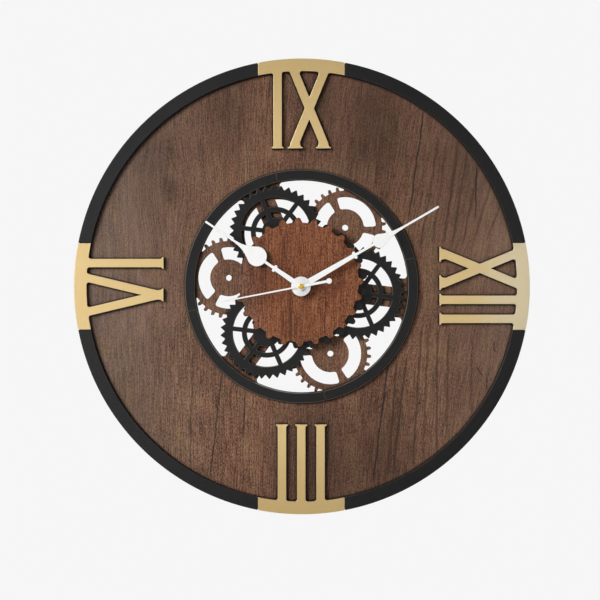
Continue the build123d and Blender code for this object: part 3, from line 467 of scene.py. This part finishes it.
def black_board(name, edge_wear_and_highlight, gloss):
    """Satin black paint over board; its roundings along the cut edges go to a given lighter colour, partly
    wear and partly painted highlight.
    """
    s = Surface(name)
    cloud = s.cloud(0.05, detail=3.0)
    specks = s.cloud(3.0, detail=3.0)
    colour = s.blend(cloud, srgb(9, 9, 9), srgb(14, 13, 13))
    colour = s.blend(s.sides(), colour, srgb(15, 13, 12))
    # Wear and painted highlight: patchy lighter roundings along the cut edges
    wear_and_highlight = s.calc("MULTIPLY", s.rounding(), s.span(specks, low=0.5, high=1.0))
    colour = s.blend(wear_and_highlight, colour, edge_wear_and_highlight)
    s.bump(specks, depth=0.012 * mm)
    roughness = s.span(cloud, low=0.34, high=0.41)
    return s.set(Base_Color=colour, Roughness=roughness, Specular_IOR_Level=gloss)


def gold():
    """Satin gold sheet on board with fine brushing, painted highlight on its roundings and dark cut edges.

    It has a painted paler reflection to the right, and painted duller reflection at the top and the bottom
    of the clock.
    """
    s = Surface("gold")
    brushing = s.cloud((0.25, 1.0, 7.0), detail=4.0)
    cloud = s.cloud(0.03, detail=2.0)
    right = s.smooth(s.x, low=105.0, high=140.0)
    dim_reflection_top_and_bottom = s.smooth(s.calc("ABSOLUTE", s.z), low=88.0, high=150.0)
    colour = s.blend(cloud, srgb(222, 192, 131), srgb(232, 204, 147))
    colour = s.blend(brushing, colour, srgb(198, 162, 100), strength=0.25)
    # Painted reflection: paler gold to the right
    colour = s.blend(right, colour, srgb(222, 212, 184), strength=0.6)
    # Painted shade: duller gold at the top and the bottom, where less light is reflected
    colour = s.blend(dim_reflection_top_and_bottom, colour, srgb(178, 148, 92), strength=0.44)
    # Painted highlight on the roundings
    colour = s.blend(s.rounding(), colour, srgb(250, 230, 182), strength=0.9)
    colour = s.blend(s.sides(), colour, srgb(24, 15, 11))
    s.bump(brushing, depth=0.006 * mm)
    shine = s.span(s.sides(), low=0.5, high=0.0)
    roughness = s.span(brushing, low=0.30, high=0.42)
    s.set(Coat_Weight=0.35, Coat_Roughness=0.22)
    return s.set(Base_Color=colour, Metallic=shine, Roughness=roughness)


def white_metal():
    """White enamel on sheet metal, slightly uneven, with painted shade making the cut edges and roundings
    greyer.
    """
    s = Surface("white_metal")
    cloud = s.cloud(0.2, detail=3.0)
    orange_peel = s.cloud(2.2, detail=2.0)
    colour = s.blend(cloud, srgb(236, 236, 234), srgb(243, 243, 242))
    # Painted shade: greyer sides and roundings that outline the hands
    colour = s.blend(s.sides(), colour, srgb(170, 170, 168), strength=0.7)
    colour = s.blend(s.rounding(), colour, srgb(186, 186, 184), strength=0.8)
    s.bump(orange_peel, depth=0.004 * mm)
    s.set(Coat_Weight=0.3, Coat_Roughness=0.15)
    return s.set(Base_Color=colour, Roughness=s.span(cloud, low=0.26, high=0.36))


def spun_silver():
    """Pale metal spun about the hand axis."""
    s = Surface("spun_silver")
    rings_per_mm = 9.0
    outward = s.calc("MULTIPLY", reach(s, 0.0, 0.0), rings_per_mm)
    rings = s.noise(s.join(outward, 0.0, 0.0), detail=3.0)
    colour = s.blend(rings, srgb(226, 225, 223), srgb(242, 241, 240))
    s.bump(rings, depth=0.003 * mm)
    return s.set(Base_Color=colour, Metallic=0.2, Roughness=0.3)


def metal(name, light, dark, roughness, shine=1.0):
    """Turned or stamped metal with fine tool marks."""
    s = Surface(name)
    marks = s.cloud((1.0, 8.0, 1.0), detail=4.0)
    s.bump(marks, depth=0.005 * mm)
    colour = s.blend(marks, dark, light)
    return s.set(Base_Color=colour, Metallic=shine, Roughness=s.span(marks, *roughness))


def plastic(name, light, dark, roughness):
    """Moulded plastic with a fine spark-eroded texture."""
    s = Surface(name)
    texture = s.cloud(2.6, detail=4.0)
    colour = s.blend(s.cloud(0.08, detail=2.0), dark, light)
    s.bump(texture, depth=0.012 * mm)
    return s.set(Base_Color=colour, Roughness=s.span(texture, *roughness))


def battery_label(low_end, high_end):
    """Plain printed sleeve with a pale band, and bright steel at both ends. Lengths are in millimetres."""
    s = Surface("battery_label")
    band_start, band_end, band_blur = high_end - 11.0, high_end - 7.0, 0.4
    bare_end, bare_blur = 1.5, 0.2
    scuffs = s.cloud(0.9, detail=5.0)
    sleeve = s.blend(scuffs, srgb(44, 58, 72), srgb(58, 74, 90))
    past_start = s.smooth(s.x, band_start, band_start + band_blur)
    before_end = s.smooth(s.x, band_end, band_end - band_blur)
    sleeve = s.blend(s.calc("MULTIPLY", past_start, before_end), sleeve, srgb(205, 208, 210))
    bare_low = s.smooth(s.x, low_end + bare_end, low_end + bare_end - bare_blur)
    bare_high = s.smooth(s.x, high_end - bare_end, high_end - bare_end + bare_blur)
    bare = s.calc("MAXIMUM", bare_low, bare_high)
    colour = s.blend(bare, sleeve, srgb(186, 188, 190))
    s.bump(scuffs, depth=0.006 * mm)
    return s.set(Base_Color=colour, Metallic=bare, Roughness=s.span(scuffs, low=0.26, high=0.42))


def copper_wire():
    """Fine enamelled wire wound side by side, with painted shade in the grooves and a painted highlight on
    the crest of each turn.
    """
    s = Surface("copper")
    pitch_mm = 0.12
    waves = s.calc("SINE", s.calc("MULTIPLY", s.x, 2 * math.pi / pitch_mm))
    turn_relief_and_shade = s.span(waves, low=0.35, high=0.65)
    # Painted shade and highlight across each turn of the wire
    colour = s.blend(turn_relief_and_shade, srgb(120, 62, 34), srgb(196, 116, 70))
    s.bump(turn_relief_and_shade, depth=0.03 * mm)
    return s.set(Base_Color=colour, Metallic=0.9, Roughness=0.32)


def circuit_green():
    """Green solder mask over faint copper tracks."""
    s = Surface("board_green")
    tracks = s.nodes.new("ShaderNodeTexVoronoi")
    tracks.feature = "DISTANCE_TO_EDGE"
    tracks.inputs["Scale"].default_value = 0.35
    s.feed(tracks.inputs["Vector"], s.place)
    track = s.smooth(tracks.outputs["Distance"], low=0.10, high=0.06)
    colour = s.blend(track, srgb(18, 70, 38), srgb(48, 112, 62))
    s.bump(track, depth=0.02 * mm)
    return s.set(Base_Color=colour, Roughness=0.32)


def paint(names, material):
    """Give CAD nodes their finished material."""
    for name in names:
        slots = nodes[name].data.materials
        slots.clear()
        slots.append(material)


def round_edges(names, width, whole_faces=False):
    """Small roundings on the sharp edges of CAD nodes, whose flat faces may first be made whole."""
    for name in names:
        weld = nodes[name].modifiers.new("weld", "WELD")
        weld.merge_threshold = weld_distance
        if whole_faces:
            flatten = nodes[name].modifiers.new("flat_faces", "DECIMATE")
            flatten.decimate_type = "DISSOLVE"
            flatten.angle_limit = flat_face_angle
        bevel = nodes[name].modifiers.new("edges", "BEVEL")
        bevel.width = width
        bevel.segments = rounding_segments
        bevel.limit_method = "ANGLE"
        bevel.angle_limit = sharp_edge_angle
        bevel.use_clamp_overlap = False
        bevel.harden_normals = True


slot_nodes = {}
for subpart in frame["record"]["subparts"]:
    slot_nodes.setdefault(subpart["material_slot"], []).append(subpart["node"])
battery_ends = [corner.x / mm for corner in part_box("battery_cell")]

walnut_tones = (srgb(44, 27, 20), srgb(92, 63, 46), srgb(119, 84, 64), srgb(148, 110, 87))
cherry_tones = (srgb(67, 31, 15), srgb(102, 57, 34), srgb(128, 78, 51), srgb(156, 104, 71))
# Greyer tones for the painted sheen on the wood
walnut_sheen = (srgb(60, 46, 39), srgb(137, 112, 97))
cherry_sheen = (srgb(60, 38, 30), srgb(136, 98, 80))
yellow_walnut = (srgb(64, 48, 33), srgb(141, 111, 82))
finishes = {
    "walnut": wood("walnut", panel_marks, walnut_tones, walnut_sheen, yellow_walnut,
                   bend=9.0, lean=0.16, fine=1.0,
                   fade_start=35.0, fade_end=145.0, right_share=0.75, yellowed=0.55),
    "hub_wood": wood("hub_wood", hub_marks, cherry_tones, cherry_sheen, yellow_walnut,
                     bend=4.0, lean=0.0, fine=1.25,
                     fade_start=18.0, fade_end=46.0, right_share=0.0, yellowed=0.0),
    "black_board": black_board("black_board", edge_wear_and_highlight=srgb(140, 128, 112), gloss=0.36),
    "gold": gold(),
    "white_metal": white_metal(),
    "brass": metal("brass", srgb(250, 220, 96), srgb(222, 182, 66), roughness=(0.24, 0.36), shine=0.7),
    "case_plastic": plastic("case_plastic", srgb(34, 34, 36), srgb(26, 26, 28), roughness=(0.46, 0.6)),
    "train_plastic": plastic("train_plastic", srgb(232, 230, 220), srgb(218, 215, 204),
                             roughness=(0.4, 0.52)),
    "steel": metal("steel", srgb(206, 208, 212), srgb(170, 172, 176), roughness=(0.24, 0.4)),
    "copper": copper_wire(),
    "magnet": metal("magnet", srgb(84, 84, 90), srgb(62, 62, 68), roughness=(0.42, 0.55)),
    "board_green": circuit_green(),
    "chip_black": plastic("chip_black", srgb(22, 22, 22), srgb(16, 16, 16), roughness=(0.18, 0.26)),
    "battery_label": battery_label(*battery_ends),
    "rubber": plastic("rubber", srgb(30, 30, 30), srgb(22, 22, 22), roughness=(0.7, 0.82)),
}
for slot, material in finishes.items():
    paint(slot_nodes[slot], material)
rim_nodes = [name for name in slot_nodes["black_board"] if name.startswith("rim")]
ring_nodes = [name for name in slot_nodes["black_board"] if name.startswith("inner_ring")]
gear_nodes = [name for name in slot_nodes["black_board"] if name.startswith("black_gear")]
paint(rim_nodes, black_board("black_rim", edge_wear_and_highlight=srgb(80, 74, 67), gloss=0.37))

round_edges(ring_nodes, ring_edge)
round_edges(rim_nodes + gear_nodes + slot_nodes["hub_wood"], board_edge)
round_edges(slot_nodes["gold"], board_edge, whole_faces=True)
round_edges(slot_nodes["white_metal"], hand_edge)
round_edges(slot_nodes["case_plastic"], moulded_edge)
round_edges(["hanger_plate", "hex_nut", "brass_washer"], metal_edge)


# Pieces that only the scene has


def piece_from(name, shape):
    """Object in the scene from a worked mesh."""
    mesh = bpy.data.meshes.new(name)
    shape.to_mesh(mesh)
    shape.free()
    piece = bpy.data.objects.new(name, mesh)
    bpy.context.scene.collection.objects.link(piece)
    return piece


def lathe(name, profile):
    """Smooth ring turned about the hand axis from (radius, height in front of the wall) points."""
    shape = bmesh.new()
    rows = []
    for radius, height in profile:
        row = []
        for step in range(cap_segments):
            angle = 2 * math.pi * step / cap_segments
            row.append(shape.verts.new((radius * math.cos(angle), -height, radius * math.sin(angle))))
        rows.append(row)
    for lower, upper in zip(rows, rows[1:] + rows[:1]):
        for step in range(cap_segments):
            after = (step + 1) % cap_segments
            face = shape.faces.new((lower[step], lower[after], upper[after], upper[step]))
            face.smooth = True
    bmesh.ops.recalc_face_normals(shape, faces=shape.faces)
    return piece_from(name, shape)


def boss_cap():
    """Shallow spun cone on the minute hand's boss."""
    hand_front = -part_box("minute_hand")[0].y
    foot = hand_front + cap_foot
    edge = hand_front + cap_side
    top = hand_front + cap_top
    profile = ((cap_inner, foot), (cap_outer, foot), (cap_outer, edge), (cap_inner, top))
    cap = lathe("minute_boss_cap", profile)
    cap.data.materials.append(spun_silver())
    bevel = cap.modifiers.new("edges", "BEVEL")
    bevel.width = cap_edge
    bevel.limit_method = "ANGLE"
    bevel.harden_normals = True
    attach(cap, "minute_hand")


boss_cap()


# Stage, lights and camera


def stage_floor(level, radius, pale):
    """Pale floor that shows soft shadows near the clock and fades into the backdrop further out."""
    shape = bmesh.new()
    bmesh.ops.create_circle(shape, cap_ends=True, segments=96, radius=radius)
    floor = piece_from("floor", shape)
    floor.location = (0.0, 0.0, level)
    s = Surface("floor")
    far = s.smooth(length(s, s.x, s.y), low=350.0, high=900.0)
    s.set(Base_Color=s.blend(far, pale, srgb(0, 0, 0)), Roughness=0.9, Specular_IOR_Level=0.0)
    seen = s.nodes.new("ShaderNodeLightPath").outputs["Is Camera Ray"]
    s.set(Emission_Color=pale, Emission_Strength=s.calc("MULTIPLY", far, seen))
    floor.data.materials.append(s.material)


def studio_world(pale, left, right):
    """Pale backdrop for the eye, and a soft light for the clock that is brighter from the left."""
    side_reach = 0.6
    world = bpy.data.worlds.new("studio")
    world.use_nodes = True
    tree = world.node_tree
    tree.nodes.clear()
    output = tree.nodes.new("ShaderNodeOutputWorld")
    mix = tree.nodes.new("ShaderNodeMixShader")
    path = tree.nodes.new("ShaderNodeLightPath")
    light = tree.nodes.new("ShaderNodeBackground")
    seen = tree.nodes.new("ShaderNodeBackground")
    direction = tree.nodes.new("ShaderNodeTexCoord")
    split = tree.nodes.new("ShaderNodeSeparateXYZ")
    level = tree.nodes.new("ShaderNodeMapRange")
    level.inputs["From Min"].default_value = -side_reach
    level.inputs["From Max"].default_value = side_reach
    level.inputs["To Min"].default_value = left
    level.inputs["To Max"].default_value = right
    light.inputs["Color"].default_value = srgb(255, 255, 255)
    seen.inputs["Color"].default_value = pale
    tree.links.new(direction.outputs["Generated"], split.inputs[0])
    tree.links.new(split.outputs["X"], level.inputs["Value"])
    tree.links.new(level.outputs[0], light.inputs["Strength"])
    tree.links.new(path.outputs["Is Camera Ray"], mix.inputs["Fac"])
    tree.links.new(light.outputs[0], mix.inputs[1])
    tree.links.new(seen.outputs[0], mix.inputs[2])
    tree.links.new(mix.outputs[0], output.inputs["Surface"])
    bpy.context.scene.world = world


def soft_box(name, place, size, power):
    """Soft rectangular light aimed at the middle of the clock."""
    light = bpy.data.lights.new(name, "AREA")
    light.shape = "RECTANGLE"
    light.size, light.size_y = size
    light.energy = power
    lamp = bpy.data.objects.new(name, light)
    lamp.location = place
    lamp.rotation_mode = "QUATERNION"
    aim = Vector((0.0, 0.0, 0.0)) - Vector(place)
    lamp.rotation_quaternion = aim.to_track_quat("-Z", "Y")
    bpy.context.scene.collection.objects.link(lamp)


def photo_camera():
    """Camera at the photograph's angle, with the rim as large and as placed as it is there."""
    data = bpy.data.cameras.new("camera")
    data.lens = camera_lens
    data.sensor_width = camera_sensor
    diameter = cad_high.x - cad_low.x
    distance = diameter * photo_pixels / outline_pixels * camera_lens / camera_sensor
    azimuth = math.radians(camera_azimuth)
    target = Vector((0.0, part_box("numeral_nine")[0].y, 0.0))
    camera = bpy.data.objects.new("camera", data)
    camera.location = target + distance * Vector((math.sin(azimuth), -math.cos(azimuth), 0.0))
    camera.rotation_euler = (math.pi / 2, 0.0, azimuth)
    data.shift_x = (photo_pixels / 2 - axis_pixels[0]) / photo_pixels
    data.shift_y = (axis_pixels[1] - photo_pixels / 2) / photo_pixels
    data.clip_start = camera_near
    bpy.context.scene.collection.objects.link(camera)
    bpy.context.scene.camera = camera


backdrop = srgb(246, 246, 246)
stage_floor(level=-0.46, radius=7.0, pale=backdrop)
studio_world(backdrop, left=0.10, right=0.05)
soft_box("key_light", place=(-1.45, -1.60, 0.75), size=(1.10, 1.10), power=58.0)
soft_box("left_sheen", place=(-0.34, -1.20, -0.20), size=(0.25, 0.30), power=0.58)
soft_box("top_sheen", place=(0.0, -1.20, 0.30), size=(0.12, 0.15), power=0.15)
soft_box("low_sheen", place=(0.0, -1.20, -0.15), size=(0.12, 0.12), power=0.22)
soft_box("right_sheen", place=(0.30, -1.30, 0.02), size=(0.10, 0.30), power=0.4)
soft_box("fill_light", place=(1.1, -1.0, 0.2), size=(0.5, 0.9), power=3.6)
soft_box("back_light", place=(0.5, 1.3, 0.9), size=(1.0, 1.0), power=14.0)
photo_camera()
bpy.context.scene.view_settings.view_transform = "Standard"
